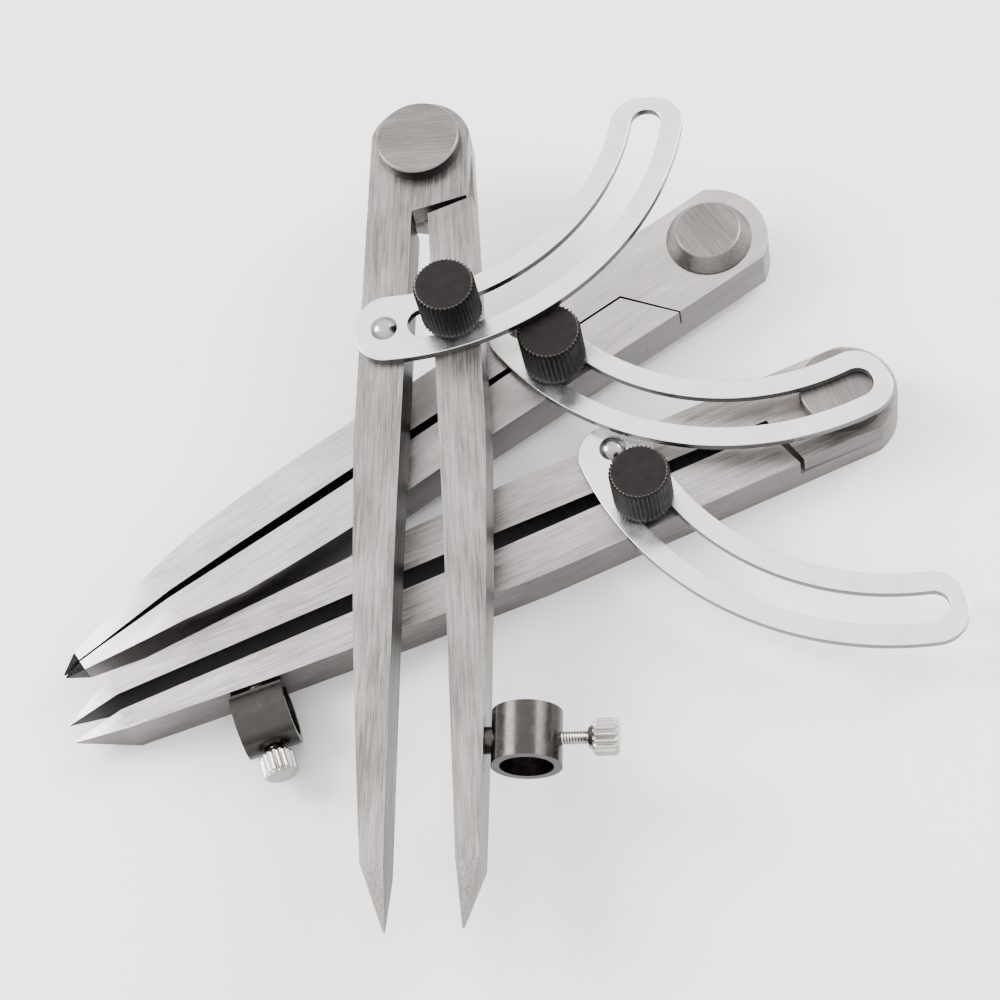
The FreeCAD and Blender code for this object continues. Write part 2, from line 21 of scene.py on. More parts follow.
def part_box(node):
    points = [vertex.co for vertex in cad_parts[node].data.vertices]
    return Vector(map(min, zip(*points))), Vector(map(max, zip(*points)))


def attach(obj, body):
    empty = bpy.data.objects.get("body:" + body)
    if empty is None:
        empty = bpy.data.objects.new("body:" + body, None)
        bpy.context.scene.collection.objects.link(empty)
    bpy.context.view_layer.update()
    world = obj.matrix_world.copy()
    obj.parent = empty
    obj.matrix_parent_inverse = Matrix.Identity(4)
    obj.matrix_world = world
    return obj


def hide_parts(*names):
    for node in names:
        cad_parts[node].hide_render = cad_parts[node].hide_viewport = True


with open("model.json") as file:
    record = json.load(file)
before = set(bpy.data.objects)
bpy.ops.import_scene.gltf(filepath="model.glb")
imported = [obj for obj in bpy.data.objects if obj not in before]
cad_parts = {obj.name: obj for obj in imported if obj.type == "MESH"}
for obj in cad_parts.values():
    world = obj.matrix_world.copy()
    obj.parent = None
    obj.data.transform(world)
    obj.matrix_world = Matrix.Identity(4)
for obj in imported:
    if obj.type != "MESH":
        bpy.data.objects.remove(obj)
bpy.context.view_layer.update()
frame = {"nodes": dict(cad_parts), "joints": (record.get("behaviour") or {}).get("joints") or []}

MM = 0.001
LEG_THICKNESS = 11.0  # in millimetres, and the same for every leg
MERGE_DISTANCE = 2e-6  # in metres: corners of a node's triangles that are closer are one corner
FLAT_ANGLE = 0.6  # in degrees: faces that meet flatter are one face
CREASE = 28.0  # in degrees: a sharper edge of a leg or a wing is broken
ON_STUD = 0.01  # in millimetres: how near to the stud's radius a row is cut as its thread
EVEN = (1.0, 1.0, 1.0)
MIDDLE_BAND = (0.35, 0.65)  # the band that holds nearly all of a noise's values
UP = (0.0, 0.0, 1.0)
log = logging.getLogger("compasses")


class Side(Enum):
    """The two sides of a compass, named after what each leg carries."""

    WING = "wing"
    LOCK = "lock"


class Kind(Enum):
    """The two patterns in the pile."""

    PLAIN = "plain"
    HARD = "hard"


# ------------------------------------------------------------------------------- placement
def joint(name: str) -> dict:
    """Find one joint of the frame.

    Args:
        name: the joint's name.

    Returns:
        The joint as the record gives it.
    """
    return next(item for item in frame["joints"] if item["name"] == name)


def box_middle(node: str) -> np.ndarray:
    """Give the middle of a node's box.

    Args:
        node: the node's name.

    Returns:
        The middle, in metres.
    """
    low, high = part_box(node)
    return (np.array(low) + np.array(high)) / 2


def turned(angle: float) -> np.ndarray:
    """Give the matrix of a turn about Z.

    Args:
        angle: the turn in radians.

    Returns:
        A 3 by 3 matrix.
    """
    c, s = math.cos(angle), math.sin(angle)
    return np.array([[c, -s, 0.0], [s, c, 0.0], [0.0, 0.0, 1.0]])


@dataclass(frozen=True)
class Seat:
    """Where a piece goes: a turn, and an origin in metres."""

    axes: np.ndarray
    origin: np.ndarray

    def carry(self, points: np.ndarray) -> np.ndarray:
        """Take points in millimetres at the piece's own origin to their place in metres.

        Args:
            points: an array of points, one a row.

        Returns:
            The placed points.
        """
        return points @ self.axes.T * MM + self.origin


def about(direction: np.ndarray, origin: np.ndarray) -> Seat:
    """Seat a turned piece with its own Z along a direction.

    Args:
        direction: the piece's axis, of unit length.
        origin: the piece's origin, in metres.

    Returns:
        The seat.
    """
    z = np.array(direction) / np.linalg.norm(direction)
    helper = np.array([0.0, 0.0, 1.0]) if abs(z[2]) < 0.9 else np.array([1.0, 0.0, 0.0])
    x = np.cross(helper, z)
    x /= np.linalg.norm(x)
    return Seat(np.column_stack([x, np.cross(z, x), z]), np.array(origin))


# -------------------------------------------------------------------------------- surfaces
def smoothstep(low: float, high: float, value: np.ndarray) -> np.ndarray:
    """Rise from 0 to 1 between two values, with the cubic 3t^2 - 2t^3.

    Args:
        low: where the rise starts.
        high: where the rise ends.
        value: the values to map.

    Returns:
        The mapped values.
    """
    t = np.clip((value - low) / (high - low), 0.0, 1.0)
    return t * t * (3.0 - 2.0 * t)


def rounded_profile(corners: list[tuple[float, float]], rounding: float, steps: int = 3) -> np.ndarray:
    """Round the inner corners of a profile with quadratic curves.

    Each corner is left along its two edges by the rounding, or 45% of the edge if that is
    less, and the gap is the curve (1-t)^2 A + 2t(1-t) C + t^2 B.

    Args:
        corners: the profile's corners, as (radius, height).
        rounding: how far from a corner its curve starts.
        steps: the number of spans in a curve.

    Returns:
        The rounded profile, one point a row.
    """
    points = np.array(corners, dtype=float)
    rows = [points[0]]
    t = np.linspace(0.0, 1.0, steps + 1)[:, None]
    for before, corner, after in zip(points[:-2], points[1:-1], points[2:]):
        back, ahead = before - corner, after - corner
        reach_back = min(rounding, 0.45 * np.linalg.norm(back)) / np.linalg.norm(back)
        reach_ahead = min(rounding, 0.45 * np.linalg.norm(ahead)) / np.linalg.norm(ahead)
        start, end = corner + back * reach_back, corner + ahead * reach_ahead
        rows.extend((1 - t) ** 2 * start + 2 * t * (1 - t) * corner + t ** 2 * end)
    rows.append(points[-1])
    return np.array(rows)


def refine(profile: np.ndarray, step: float) -> np.ndarray:
    """Divide a profile's long spans evenly.

    Args:
        profile: the profile's points, one a row.
        step: the longest span wanted.

    Returns:
        The profile with points added.
    """
    rows = []
    for start, end in zip(profile[:-1], profile[1:]):
        count = max(1, int(math.ceil(np.linalg.norm(end - start) / step)))
        rows.append(start + (end - start) * np.linspace(0.0, 1.0, count, endpoint=False)[:, None])
    rows.append(profile[-1:])
    return np.vstack(rows)


Shaper = Callable[[np.ndarray, np.ndarray, np.ndarray], np.ndarray]


def helix(height: np.ndarray, angle: np.ndarray, pitch: float) -> np.ndarray:
    """Give a thread's depth as a share: frac(h/p - a/2 pi), which climbs with the angle, folded.

    Args:
        height: the heights.
        angle: the angles.
        pitch: the thread's pitch.

    Returns:
        The share, 0 at the middle of a turn of the thread and 1 at its ends.
    """
    return np.abs(2.0 * np.mod(height / pitch - angle / (2.0 * math.pi), 1.0) - 1.0)


def lathe(profile: np.ndarray, around: int, shape: Optional[Shaper] = None,
          ring: bool = False) -> tuple[np.ndarray, np.ndarray, np.ndarray]:
    """Turn a profile about Z: x = r cos a, y = r sin a, z = h, where r may be cut by a shape.

    A profile that is not a ring starts and ends on the axis, and its end rows become poles.

    Args:
        profile: (radius, height) rows, anticlockwise as seen with the radius to the right.
        around: the number of columns.
        shape: a function of the radii, heights and angles that gives the final radii.
        ring: whether the profile closes on itself.

    Returns:
        The points, the quads, and each quad's row in the profile.
    """
    angles = np.linspace(0.0, 2.0 * math.pi, around, endpoint=False)
    body = profile if ring else profile[1:-1]
    radius = np.repeat(body[:, :1], around, axis=1)
    height = np.repeat(body[:, 1:], around, axis=1)
    angle = np.repeat(angles[None, :], len(body), axis=0)
    if shape is not None:
        radius = shape(radius, height, angle)
    points = np.stack([radius * np.cos(angle), radius * np.sin(angle), height], axis=-1).reshape(-1, 3)
    rows = np.arange(len(body) if ring else len(body) - 1)
    row, column = np.meshgrid(rows, np.arange(around), indexing="ij")
    beyond, beside = (row + 1) % len(body), (column + 1) % around
    quads = np.stack([row * around + column, row * around + beside,
                      beyond * around + beside, beyond * around + column], axis=-1).reshape(-1, 4)
    marks = row.reshape(-1) + (0 if ring else 1)
    if ring:
        return points, quads, marks
    low, high = len(points), len(points) + 1
    points = np.vstack([points, [0.0, 0.0, profile[0, 1]], [0.0, 0.0, profile[-1, 1]]])
    column = np.arange(around)
    beside = (column + 1) % around
    last = (len(body) - 1) * around
    floor = np.stack([np.full(around, low), beside, column, column], axis=-1)
    lid = np.stack([np.full(around, high), last + column, last + beside, last + beside], axis=-1)
    marks = np.concatenate([marks, np.zeros(around, int), np.full(around, len(body))])
    return points, np.vstack([quads, floor, lid]), marks


def mesh_object(name: str, points: np.ndarray, quads: np.ndarray,
                slots: Optional[np.ndarray] = None, crease: float = 30.0) -> bpy.types.Object:
    """Make an object from placed points and quads; a quad that repeats its last point is a triangle.

    Args:
        name: the object's name.
        points: placed points, in metres.
        quads: four point numbers a row.
        slots: each face's material slot.
        crease: edges sharper than this, in degrees, stay sharp.

    Returns:
        The new object, linked to the scene.
    """
    faces = [tuple(face[:3]) if face[2] == face[3] else tuple(face) for face in quads.tolist()]
    mesh = bpy.data.meshes.new(name)
    mesh.from_pydata(points.tolist(), [], faces)
    if slots is not None:
        mesh.polygons.foreach_set("material_index", slots.astype(np.int32))
    mesh.update()
    item = bpy.data.objects.new(name, mesh)
    bpy.context.scene.collection.objects.link(item)
    shade(mesh, crease)
    return item


def shade(mesh: bpy.types.Mesh, crease: float) -> None:
    """Shade a mesh smooth but for its sharp edges.

    Args:
        mesh: the mesh.
        crease: the angle in degrees past which an edge is sharp.
    """
    mesh.polygons.foreach_set("use_smooth", np.ones(len(mesh.polygons), dtype=bool))
    work = bmesh.new()
    work.from_mesh(mesh)
    limit = math.radians(crease)
    for edge in work.edges:
        edge.smooth = len(edge.link_faces) == 2 and edge.calc_face_angle(0.0) < limit
    work.to_mesh(mesh)
    work.free()
    mesh.update()


def softened(node: str, name: str, width: float, segments: int = 2) -> bpy.types.Object:
    """Copy a node's flat-sided shape with its facets merged and its sharp edges broken.

    Args:
        node: the node to copy.
        name: the new piece's name.
        width: the edge break, in millimetres.
        segments: the spans across an edge break.

    Returns:
        The new piece.
    """
    mesh = frame["nodes"][node].data.copy()
    mesh.name = name
    mesh.materials.clear()
    work = bmesh.new()
    work.from_mesh(mesh)
    bmesh.ops.remove_doubles(work, verts=work.verts, dist=MERGE_DISTANCE)
    bmesh.ops.dissolve_limit(work, angle_limit=math.radians(FLAT_ANGLE), verts=work.verts, edges=work.edges)
    work.to_mesh(mesh)
    work.free()
    for layer in list(mesh.uv_layers):
        mesh.uv_layers.remove(layer)
    if mesh.has_custom_normals:
        mesh.attributes.remove(mesh.attributes["custom_normal"])
    item = bpy.data.objects.new(name, mesh)
    bpy.context.scene.collection.objects.link(item)
    shade(mesh, CREASE)
    bevel = item.modifiers.new("edge_break", "BEVEL")
    bevel.width = width * MM
    bevel.segments = segments
    bevel.limit_method = "ANGLE"
    bevel.angle_limit = math.radians(CREASE)
    bevel.use_clamp_overlap = True
    flats = item.modifiers.new("flat_faces", "WEIGHTED_NORMAL")
    flats.keep_sharp = False
    flats.weight = 80
    return item


# -------------------------------------------------------------------------------- finishes
@dataclass(frozen=True)
class Grain:
    """One noise of a finish: its scale per metre, octaves, fine strength and stretch."""

    scale: float
    detail: float
    roughness: float
    stretch: tuple = EVEN


class Nodes:
    """A material's node tree, with a short call for each kind of node used here."""

    def __init__(self, name: str) -> None:
        """Start a material with its plain shader.

        Args:
            name: the material's name.
        """
        self.material = bpy.data.materials.new(name)
        self.material.use_nodes = True
        self.tree = self.material.node_tree
        self.shader = self.tree.nodes["Principled BSDF"]

    def add(self, kind: str, **values: object) -> bpy.types.Node:
        """Add a node and set what is given: sockets by name, then plain properties.

        Args:
            kind: the node's type.
            values: a value or an output socket for each socket or property.

        Returns:
            The node.
        """
        node = self.tree.nodes.new(kind)
        for key, value in values.items():
            if hasattr(node, key):
                setattr(node, key, value)
        for key, value in values.items():
            if not hasattr(node, key):
                self.feed(node.inputs[key.replace("_", " ")], value)
        return node

    def feed(self, socket: bpy.types.NodeSocket, value: object) -> None:
        """Link an output to a socket, or set the socket.

        Args:
            socket: the input.
            value: an output socket, or a plain value.
        """
        if isinstance(value, bpy.types.NodeSocket):
            self.tree.links.new(value, socket)
        else:
            socket.default_value = value

    def place(self, turn: float = 0.0, origin: tuple = (0.0, 0.0, 0.0),
              stretch: tuple = EVEN) -> bpy.types.NodeSocket:
        """Give coordinates centred on a point, turned about Z and stretched.

        Args:
            turn: the turn in radians that the pattern is given.
            origin: the pattern's centre, in metres.
            stretch: the scale along each of the pattern's axes.

        Returns:
            The coordinates.
        """
        base = self.add("ShaderNodeTexCoord").outputs["Object"]
        move = self.add("ShaderNodeMapping", vector_type="TEXTURE")
        self.feed(move.inputs["Vector"], base)
        move.inputs["Location"].default_value = origin
        move.inputs["Rotation"].default_value = (0.0, 0.0, turn)
        scale = self.add("ShaderNodeMapping", vector_type="POINT")
        self.feed(scale.inputs["Vector"], move.outputs["Vector"])
        scale.inputs["Scale"].default_value = stretch
        return scale.outputs["Vector"]

    def noise(self, grain: Grain, turn: float = 0.0,
              origin: tuple = (0.0, 0.0, 0.0)) -> bpy.types.NodeSocket:
        """Add a noise.

        Args:
            grain: its scale, octaves, fine strength and stretch.
            turn: its heading, in radians.
            origin: its centre, in metres.

        Returns:
            Its value.
        """
        node = self.add("ShaderNodeTexNoise")
        self.feed(node.inputs["Vector"], self.place(turn, origin, grain.stretch))
        self.feed(node.inputs["Scale"], grain.scale)
        self.feed(node.inputs["Detail"], grain.detail)
        self.feed(node.inputs["Roughness"], grain.roughness)
        return node.outputs[0]

    def spread(self, value: bpy.types.NodeSocket, low: float, high: float,
               to_low: float, to_high: float) -> bpy.types.NodeSocket:
        """Map a range of values to another, clamped.

        Args:
            value: the value.
            low: the range's start.
            high: the range's end.
            to_low: what the start becomes.
            to_high: what the end becomes.

        Returns:
            The mapped value.
        """
        node = self.add("ShaderNodeMapRange")
        self.feed(node.inputs["Value"], value)
        ends = {"From Min": low, "From Max": high, "To Min": to_low, "To Max": to_high}
        for key, number in ends.items():
            node.inputs[key].default_value = number
        return node.outputs["Result"]

    def tint(self, value: bpy.types.NodeSocket, first: object, second: tuple) -> bpy.types.NodeSocket:
        """Mix two colours by a value from 0 to 1.

        Args:
            value: the mix.
            first: the colour at 0, or an output that gives it.
            second: the colour at 1.

        Returns:
            The colour.
        """
        node = self.add("ShaderNodeMix", data_type="RGBA")
        mix, start, end = node.inputs[0], node.inputs[6], node.inputs[7]
        self.feed(mix, value)
        self.feed(start, (*first, 1.0) if isinstance(first, tuple) else first)
        self.feed(end, (*second, 1.0))
        return node.outputs[2]

    def combine(self, how: str, first: object, second: object) -> bpy.types.NodeSocket:
        """Work out one operation on two values.

        Args:
            how: the Math node's operation.
            first: its first value.
            second: its second value.

        Returns:
            The result.
        """
        node = self.add("ShaderNodeMath", operation=how)
        self.feed(node.inputs[0], first)
        self.feed(node.inputs[1], second)
        return node.outputs[0]

    def blend(self, first: bpy.types.NodeSocket, second: bpy.types.NodeSocket,
              share: float) -> bpy.types.NodeSocket:
        """Add two values, the first by its share and the second by the rest of 1.

        Args:
            first: the first value.
            second: the second value.
            share: the first value's share.

        Returns:
            The sum.
        """
        return self.combine("ADD", self.combine("MULTIPLY", first, share),
                            self.combine("MULTIPLY", second, 1.0 - share))

    def bump(self, height: bpy.types.NodeSocket, strength: float, distance: float) -> None:
        """Raise the surface by a height.

        Args:
            height: the height from 0 to 1.
            strength: how much of the bump shows.
            distance: the height of 1, in millimetres.
        """
        node = self.add("ShaderNodeBump")
        node.inputs["Strength"].default_value = strength
        node.inputs["Distance"].default_value = distance * MM
        self.feed(node.inputs["Height"], height)
        self.feed(self.shader.inputs["Normal"], node.outputs["Normal"])

    def facing(self, direction: tuple) -> bpy.types.NodeSocket:
        """Give how far the surface faces along a direction, as a cosine.

        Args:
            direction: the direction, of unit length.

        Returns:
            The cosine.
        """
        node = self.add("ShaderNodeVectorMath", operation="DOT_PRODUCT")
        self.feed(node.inputs[0], self.add("ShaderNodeTexCoord").outputs["Normal"])
        node.inputs[1].default_value = direction
        return node.outputs["Value"]

    def level(self, upright: float, flat: float, wall_shade: float) -> bpy.types.NodeSocket:
        """Give a share that is 1 on level faces and less on upright ones, for painting shade on upright
        faces.

        Args:
            upright: the cosine to the vertical up to which a face counts as upright.
            flat: the cosine from which it counts as level.
            wall_shade: the share on upright faces.

        Returns:
            The share.
        """
        upward = self.combine("ABSOLUTE", self.facing(UP), 0.0)
        return self.spread(upward, upright, flat, wall_shade, 1.0)

    def dimmed(self, colour: bpy.types.NodeSocket, share: bpy.types.NodeSocket) -> bpy.types.NodeSocket:
        """Multiply a colour by a share.

        Args:
            colour: the colour.
            share: the share, from 0 to 1.

        Returns:
            The colour.
        """
        node = self.add("ShaderNodeVectorMath", operation="SCALE")
        self.feed(node.inputs[0], colour)
        self.feed(node.inputs["Scale"], share)
        return node.outputs["Vector"]

    def finish(self, metal: float, **inputs: object) -> bpy.types.Material:
        """Set the shader's inputs.

        Args:
            metal: how metallic it is.
            inputs: a value or an output for each of the shader's inputs.

        Returns:
            The material.
        """
        self.shader.inputs["Metallic"].default_value = metal
        for key, value in inputs.items():
            self.feed(self.shader.inputs[key.replace("_", " ")], value)
        return self.material


@dataclass(frozen=True)
class BrushedSteel:
    """Ground steel with lengthwise brushing, faint stains and fine pits.

    Its upright faces are darkened as painted shade, and a leg's inner face is painted near-black as shade
    in the gap between the legs.
    """

    light: tuple = (0.38, 0.353, 0.335)
    dark: tuple = (0.14, 0.126, 0.117)
    pit_colour: tuple = (0.16, 0.15, 0.135)
    roughness: float = 0.34
    smoother: float = 0.07
    rougher: float = 0.12
    grain: float = 0.6
    pits: float = 0.75
    pit_depth: float = 0.8
    # painted shade: the share of the colour left on upright faces
    wall_shade: float = 0.55
    # painted shade: the share of the colour left on the inner faces in the gap between the legs
    gap_shade_share: float = 0.10
    relief: float = 0.35
    relief_height: float = 0.03
    lines: Grain = Grain(2600.0, 4.0, 0.75, (1.0, 0.03, 1.0))
    bands: Grain = Grain(700.0, 3.0, 0.6, (1.0, 0.05, 1.0))
    stains: Grain = Grain(110.0, 4.0, 0.6, (1.0, 0.35, 1.0))
    specks: Grain = Grain(2600.0, 2.0, 0.5, (1.0, 0.7, 1.0))
    line_share: float = 0.55
    rough_line_share: float = 0.6
    shown: tuple = (0.37, 0.60)
    pitted: tuple = (0.66, 0.74)
    upright: float = 0.1
    flat: float = 0.7
    # where the painted gap shade falls: faces looking inward, near the leg's own line
    inward: tuple = (0.3, 0.8)
    gap_shade_reach: tuple = (0.0065, 0.0085)

    def make(self, name: str, turn: float = 0.0, origin: tuple = (0.0, 0.0, 0.0),
             inner: int = 0) -> bpy.types.Material:
        """Make the finish with its brushing along the turned Y axis.

        Args:
            name: the material's name.
            turn: the leg's heading, in radians.
            origin: a point on the leg, in metres.
            inner: the side, -1 or 1 along the turned X axis, whose inner face gets the painted gap shade,
                or 0.

        Returns:
            The material.
        """
        nodes = Nodes(name)
        lines = nodes.noise(self.lines, turn, origin)
        pit = nodes.spread(nodes.noise(self.specks, turn, origin), *self.pitted, 0.0, 1.0)
        mixed = nodes.blend(lines, nodes.noise(self.stains, turn, origin), self.line_share)
        colour = nodes.tint(nodes.spread(mixed, *self.shown, 0.0, 1.0), self.dark, self.light)
        colour = nodes.tint(nodes.combine("MULTIPLY", pit, self.pits), colour, self.pit_colour)
        # Painted shade: upright faces are darkened, and the inner faces between the legs darkened further.
        share = nodes.level(self.upright, self.flat, self.wall_shade)
        if inner:
            share = nodes.combine("MULTIPLY", share, self.painted_gap_shade(nodes, turn, origin, inner))
        rough = nodes.blend(lines, nodes.noise(self.bands, turn, origin), self.rough_line_share)
        rough = nodes.spread(rough, *MIDDLE_BAND,
                             self.roughness - self.smoother, self.roughness + self.rougher)
        height = nodes.combine("SUBTRACT", nodes.combine("MULTIPLY", lines, self.grain),
                               nodes.combine("MULTIPLY", pit, self.pit_depth))
        nodes.bump(height, self.relief, self.relief_height)
        return nodes.finish(1.0, Base_Color=nodes.dimmed(colour, share), Roughness=rough)

    def painted_gap_shade(self, nodes: Nodes, turn: float, origin: tuple, inner: int) -> bpy.types.NodeSocket:
        """Give how much of the colour the painted shade between the legs leaves.

        The painted shade is on faces that look inward, and only near the leg's own line, so that the
        sides of the round head past it stay ground.

        Args:
            nodes: the material's nodes.
            turn: the leg's heading, in radians.
            origin: a point on the leg, in metres.
            inner: the side, -1 or 1 along the turned X axis, that gets the painted shade.

        Returns:
            The share, 1 where there is no painted shade.
        """
        faces = nodes.facing((inner * math.cos(turn), inner * math.sin(turn), 0.0))
        across = nodes.add("ShaderNodeSeparateXYZ", Vector=nodes.place(turn, origin)).outputs["X"]
        central = nodes.spread(nodes.combine("ABSOLUTE", across, 0.0), *self.gap_shade_reach, 1.0, 0.0)
        amount = nodes.combine("MULTIPLY", nodes.spread(faces, *self.inward, 0.0, 1.0), central)
        return nodes.spread(amount, 0.0, 1.0, 1.0, self.gap_shade_share)


@dataclass(frozen=True)
class BrightPlate:
    """Polished plating with faint cloudy wear, and painted shade on its upright edges."""

    light: tuple = (0.93, 0.925, 0.92)
    dark: tuple = (0.88, 0.87, 0.86)
    roughness: float = 0.24
    smoother: float = 0.04
    rougher: float = 0.08
    # painted shade: the share of the colour left on upright faces and edges
    wall_shade: float = 0.14
    upright: float = 0.3
    flat: float = 0.97
    clouds: Grain = Grain(160.0, 4.0, 0.6)

    def make(self, name: str, turn: float = 0.0, origin: tuple = (0.0, 0.0, 0.0)) -> bpy.types.Material:
        """Make the finish.

        Args:
            name: the material's name.
            turn: the pattern's heading, in radians.
            origin: the pattern's centre, in metres.

        Returns:
            The material.
        """
        nodes = Nodes(name)
        cloud = nodes.noise(self.clouds, turn, origin)
        colour = nodes.tint(nodes.spread(cloud, *MIDDLE_BAND, 0.0, 1.0), self.dark, self.light)
        # Painted shade: upright faces and edges are darkened.
        colour = nodes.dimmed(colour, nodes.level(self.upright, self.flat, self.wall_shade))
        rough = nodes.spread(cloud, *MIDDLE_BAND,
                             self.roughness - self.smoother, self.roughness + self.rougher)
        return nodes.finish(1.0, Base_Color=colour, Roughness=rough)


@dataclass(frozen=True)
class BlackOxide:
    """Chemically blackened steel, a warm near-black with dusty, worn patches, and painted shade on its
    upright faces.
    """

    dark: tuple = (0.008, 0.0065, 0.006)
    worn: tuple = (0.022, 0.0185, 0.0165)
    roughness: float = 0.42
    smoother: float = 0.06
    rougher: float = 0.12
    metal: float = 0.75
    relief: float = 0.25
    relief_height: float = 0.02
    # painted shade: the share of the colour left on upright faces
    wall_shade: float = 0.5
    upright: float = 0.1
    flat: float = 0.8
    clouds: Grain = Grain(420.0, 4.0, 0.6)
    specks: Grain = Grain(3400.0, 2.0, 0.5)
    cloud_band: tuple = (0.35, 0.7)
    cloud_wear: tuple = (0.1, 0.5)
    speck_band: tuple = (0.62, 0.74)
    speck_wear: tuple = (0.0, 0.4)
    rough_band: tuple = (0.3, 0.7)

    def make(self, name: str, turn: float = 0.0, origin: tuple = (0.0, 0.0, 0.0)) -> bpy.types.Material:
        """Make the finish.

        Args:
            name: the material's name.
            turn: the pattern's heading, in radians.
            origin: the pattern's centre, in metres.

        Returns:
            The material.
        """
        nodes = Nodes(name)
        cloud = nodes.noise(self.clouds, turn, origin)
        speck = nodes.noise(self.specks, turn, origin)
        wear = nodes.combine("ADD", nodes.spread(cloud, *self.cloud_band, *self.cloud_wear),
                             nodes.spread(speck, *self.speck_band, *self.speck_wear))
        # Painted shade: upright faces are darkened.
        share = nodes.level(self.upright, self.flat, self.wall_shade)
        colour = nodes.dimmed(nodes.tint(wear, self.dark, self.worn), share)
        rough = nodes.spread(cloud, *self.rough_band,
                             self.roughness - self.smoother, self.roughness + self.rougher)
        nodes.bump(speck, self.relief, self.relief_height)
        return nodes.finish(self.metal, Base_Color=colour, Roughness=rough)


@dataclass(frozen=True)
class DarkHardSteel:
    """Dark ground carbide-like steel for the hard tips, ground across their length."""

    dark: tuple = (0.004, 0.004, 0.004)
    light: tuple = (0.016, 0.016, 0.017)
    smoothest: float = 0.24
    roughest: float = 0.4
    relief: float = 0.2
    relief_height: float = 0.01
    lines: Grain = Grain(5200.0, 2.0, 0.6, (0.05, 1.0, 1.0))

    def make(self, name: str, turn: float = 0.0, origin: tuple = (0.0, 0.0, 0.0)) -> bpy.types.Material:
        """Make the finish.

        Args:
            name: the material's name.
            turn: the leg's heading, in radians.
            origin: a point on the leg, in metres.

        Returns:
            The material.
        """
        nodes = Nodes(name)
        lines = nodes.noise(self.lines, turn, origin)
        colour = nodes.tint(nodes.spread(lines, *MIDDLE_BAND, 0.0, 1.0), self.dark, self.light)
        rough = nodes.spread(lines, *MIDDLE_BAND, self.smoothest, self.roughest)
        nodes.bump(lines, self.relief, self.relief_height)
        return nodes.finish(1.0, Base_Color=colour, Roughness=rough)


# ---------------------------------------------------------------------------- sub-assemblies
def show(item: bpy.types.Object, body: str, slot: str, nodes: list[str],
         *materials: bpy.types.Material) -> bpy.types.Object:
    """Dress a piece, put it on its body and let it stand for its nodes.

    Args:
        item: the piece.
        body: the body that it rides on.
        slot: the record's material slot; not used.
        nodes: the nodes it replaces.
        materials: its materials, in slot order.

    Returns:
        The piece.
    """
    for material in materials:
        item.data.materials.append(material)
    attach(item, body)
    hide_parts(*nodes)
    log.info("%s: %d faces on %s", item.name, len(item.data.polygons), body)
    return item


@dataclass
class Compass:
    """One compass of the pile, with the places that its pieces share."""

    where: str
    kind: Kind
    knob_at: tuple
    rivet_at: tuple
    knob_radius: float
    pivot: np.ndarray = field(init=False)
    headings: dict = field(init=False)

    def __post_init__(self) -> None:
        """Find the pivot and both legs' headings from the frame."""
        self.pivot = box_middle(self.node("pivot_rivet"))
        self.pivot[2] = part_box(self.node("wing_leg"))[0][2]
        self.headings = {}
        marks = {Side.WING: ("wing_rivet", self.rivet_at), Side.LOCK: ("lock_knob", self.knob_at)}
        for side, (piece, spot) in marks.items():
            away = box_middle(self.node(piece)) - self.pivot
            self.headings[side] = math.atan2(away[1], away[0]) - math.atan2(spot[1], spot[0])

    def node(self, piece: str) -> str:
        """Give the name of one of this compass's nodes."""
        return f"{self.where}_{piece}"

    def body(self, side: Side) -> str:
        """Give the name of the body of one side."""
        return f"{self.where}_{side.value}_side"

    def seat(self, side: Side, x: float = 0.0, y: float = 0.0, z: float = 0.0) -> Seat:
        """Seat a piece at a point of one leg's frame, turned with the leg.

        Args:
            side: whose frame it is.
            x: across the leg, in millimetres.
            y: along the leg, in millimetres.
            z: above the leg's underside, in millimetres.

        Returns:
            The seat.
        """
        axes = turned(self.headings[side])
        return Seat(axes, self.pivot + axes @ np.array([x, y, z]) * MM)


@dataclass
class Legs:
    """The two legs, with their edges broken and their faces brushed."""

    compass: Compass
    edge_break: float = 0.28
    tip_edge_break: float = 0.08

    def build(self, finish: BrushedSteel) -> None:
        """Make both legs.

        Args:
            finish: the steel's finish.
        """
        for side in Side:
            node = self.compass.node(f"{side.value}_leg")
            piece = softened(node, f"{node}_brushed", self.edge_break)
            seat = self.compass.seat(side)
            # The inner side's faces get painted shade for the gap between the legs.
            inner = 1 if side is Side.WING else -1
            steel = finish.make(f"{node}_steel", self.compass.headings[side], tuple(seat.origin), inner)
            show(piece, self.compass.body(side), "leg_steel", [node], steel)

    def build_tips(self, finish: DarkHardSteel) -> None:
        """Make both hard tips.

        Args:
            finish: the tips' finish.
        """
        for side in Side:
            node = self.compass.node(f"{side.value}_leg_tip")
            piece = softened(node, f"{node}_ground", self.tip_edge_break)
            dark = finish.make(f"{node}_dark", self.compass.headings[side], tuple(self.compass.pivot))
            show(piece, self.compass.body(side), "hard_tip", [node], dark)


